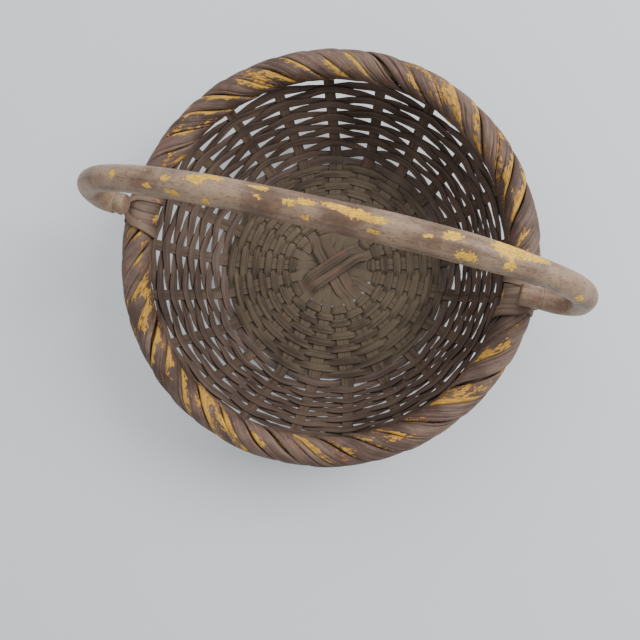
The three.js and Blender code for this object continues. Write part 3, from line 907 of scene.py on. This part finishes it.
def earPiece(name, side, node):
    # a strip carried up one leg, round under the peg and down the other
    leg = earStops()
    apex = leg[-1:].copy()
    apex[0, 0], apex[0, 1] = ear["apex"], 0.0
    back = leg[::-1].copy()
    back[:, 1] *= -1
    path = curveThrough(np.concatenate([leg, apex, back]), 8)
    place, beside, height, tilt, width = path.T
    middle = np.stack([side * np.sqrt(place ** 2 - beside ** 2), beside, height], -1)
    along = np.gradient(middle, axis=0)
    along /= np.linalg.norm(along, axis=1)[:, None]
    inward = -middle * np.array([1, 1, 0])
    inward /= np.linalg.norm(inward, axis=1)[:, None]
    normal = inward * np.cos(tilt)[:, None] + np.array([0, 0, 1.0]) * np.sin(tilt)[:, None]
    sideways = np.cross(normal, along)
    sideways /= np.linalg.norm(sideways, axis=1)[:, None]
    normal = np.cross(along, sideways)
    across, thick = splintSection()
    reach = across[None, :] * width[:, None] / 2
    skin = thick[None, :] * ear["thickness"] / 2
    rings = stripRings(middle, sideways, normal, reach, skin)
    straight = asSheet(alongPath(middle)[:, None] + side * 3.3, reach, skin)
    made = lattice(name, rings, straight, across[None, :], np.zeros((1, 1)))
    return finishPiece(made, strapPaint, "basket", "painted_strap", node)


def lashingPiece(name, side, node):
    # a closed band: half a circle over the peg's neck, then down and under the strap
    reach = lashing["neck"] + ear["slack"] + lashing["thickness"] / 2
    strapUnder = basket["borderLevel"] + ear["wrap"] - ear["thickness"] / 2
    bottom = strapUnder - ear["slack"] - lashing["thickness"] / 2
    turn = np.linspace(0, np.pi, 25)
    over = np.stack([reach * np.cos(turn), handle["pivotHeight"] + reach * np.sin(turn)], -1)
    down = np.array([[inset - reach, bottom + rise] for inset, rise in lashing["corners"]])
    outline = np.concatenate([over, down, [[0, bottom]], (down * [-1, 1])[::-1]])
    step = np.roll(outline, -1, 0) - np.roll(outline, 1, 0)
    normal = np.stack([np.zeros(len(outline)), step[:, 1], -step[:, 0]], -1)
    normal /= np.linalg.norm(normal, axis=1)[:, None]
    middle = np.stack([np.full(len(outline), side * lashing["place"]), outline[:, 0], outline[:, 1]], -1)
    across, thick = splintSection()
    rings = middle[:, None, :] + np.array([1.0, 0, 0]) * (across * lashing["width"] / 2)[None, :, None]
    rings = rings + normal[:, None, :] * (thick * lashing["thickness"] / 2)[None, :, None]
    made = lattice(name, rings, rings, across[None, :], np.zeros((1, 1)), isLoop=True)
    return finishPiece(made, handlePaint, "basket", "painted_strap", node)


def earPad(name, side, seed):
    # a wide flat splint round the border between the strap's legs, at one depth, less a few thin cracks
    wrap = np.radians(np.linspace(pad["wrapFrom"], pad["wrapTo"], 60))
    across, thick = splintSection(25)
    rng = np.random.default_rng(seed)
    middle = (0 if side > 0 else np.pi) + pad["wander"] * waver(wrap, seed, 1.1)
    width = pad["span"] / 2 * (1 + pad["widthStray"] * waver(wrap, seed + 1, 0.5))
    angle = middle[:, None] + across[None, :] * width[:, None]
    places = rng.uniform(-0.8, 0.8, pad["cracks"])[:, None]
    crack = pad["crackDepth"] * np.exp(-(((across - places) / pad["crackWidth"]) ** 2)).sum(0)
    skin = thick * pad["thickness"] / 2 - crack * (thick > 0)
    depth = pad["depth"] + skin + pad["swell"] * waver(wrap, seed + 2, 0.3)[:, None]
    straight = asSheet(wrap[:, None] * 0.0113 + seed, across[None, :] * 0.0104, depth * 0.1)
    inner = smoothStep(wrap, pad["bareFrom"], pad["bareTo"])[:, None]
    bare = pad["bare"] * inner * np.exp(-(((across[None, :] - 0.1) / 0.75) ** 2)) + pad["soundPaint"]
    made = lattice(name, roundBorder(angle, wrap, depth), straight, across[None, :], bare)
    made.data.materials.append(padPaint)
    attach(made, "basket")
    return made


for end, side in (("Right", 1), ("Left", -1)):
    earPad(f"earPad{end}", side, 60 + side)
    earPiece(f"earStrap{end}", side, f"ear_strap_{end.lower()}")
    lashingPiece(f"earLashing{end}", side, f"ear_lashing_{end.lower()}")
print("ears made")


studio = {
    "floorColour": rgb(222, 226, 228),
    "floorGlow": 0.16,
    "worldColour": rgb(236, 240, 244),
    "worldStrength": 0.63,
    "keyPlace": (1.2, 0.75, 1.25),
    "keySize": 1.0,
    "keyPower": 31.0,
    "fillPlace": (-0.6, 0.9, 1.4),
    "fillSize": 1.6,
    "fillPower": 10.0,
    "cameraPlace": (0.0821, -0.0657, 0.5154),
    "cameraAim": (0.0107, -0.0464, 0.07),
    "cameraRoll": np.radians(14.2),
    "lens": 36.1,
}


def aimed(made, place, aim, roll=0.0):
    back = (Vector(place) - Vector(aim)).normalized()
    right = Vector((0, 1, 0)).cross(back).normalized()
    up = back.cross(right)
    turned = Matrix((right, up, back)).transposed().to_4x4()
    made.matrix_world = Matrix.Translation(place) @ turned @ Matrix.Rotation(roll, 4, "Z")
    bpy.context.scene.collection.objects.link(made)
    return made


floorMesh = bpy.data.meshes.new("floor")
floorMesh.from_pydata([(-4, -4, 0), (4, -4, 0), (4, 4, 0), (-4, 4, 0)], [], [(0, 1, 2, 3)])
floor = bpy.data.objects.new("floor", floorMesh)
bpy.context.scene.collection.objects.link(floor)
floorMesh.materials.append(Finish("floorPale").finish(**{
    "Base Color": studio["floorColour"], "Roughness": 0.8,
    "Emission Color": studio["floorColour"], "Emission Strength": studio["floorGlow"]}))

world = bpy.data.worlds.new("studio")
world.use_nodes = True
world.node_tree.nodes["Background"].inputs["Color"].default_value = studio["worldColour"]
world.node_tree.nodes["Background"].inputs["Strength"].default_value = studio["worldStrength"]
bpy.context.scene.world = world
for name in ("key", "fill"):
    lamp = bpy.data.lights.new(name, "AREA")
    lamp.size = studio[name + "Size"]
    lamp.energy = studio[name + "Power"]
    aimed(bpy.data.objects.new(name, lamp), studio[name + "Place"], (0, 0, 0.04))

lens = bpy.data.cameras.new("camera")
lens.lens = studio["lens"]
lens.sensor_width = 36.0
lens.clip_start = 0.01
camera = bpy.data.objects.new("camera", lens)
aimed(camera, studio["cameraPlace"], studio["cameraAim"], studio["cameraRoll"])
bpy.context.scene.camera = camera
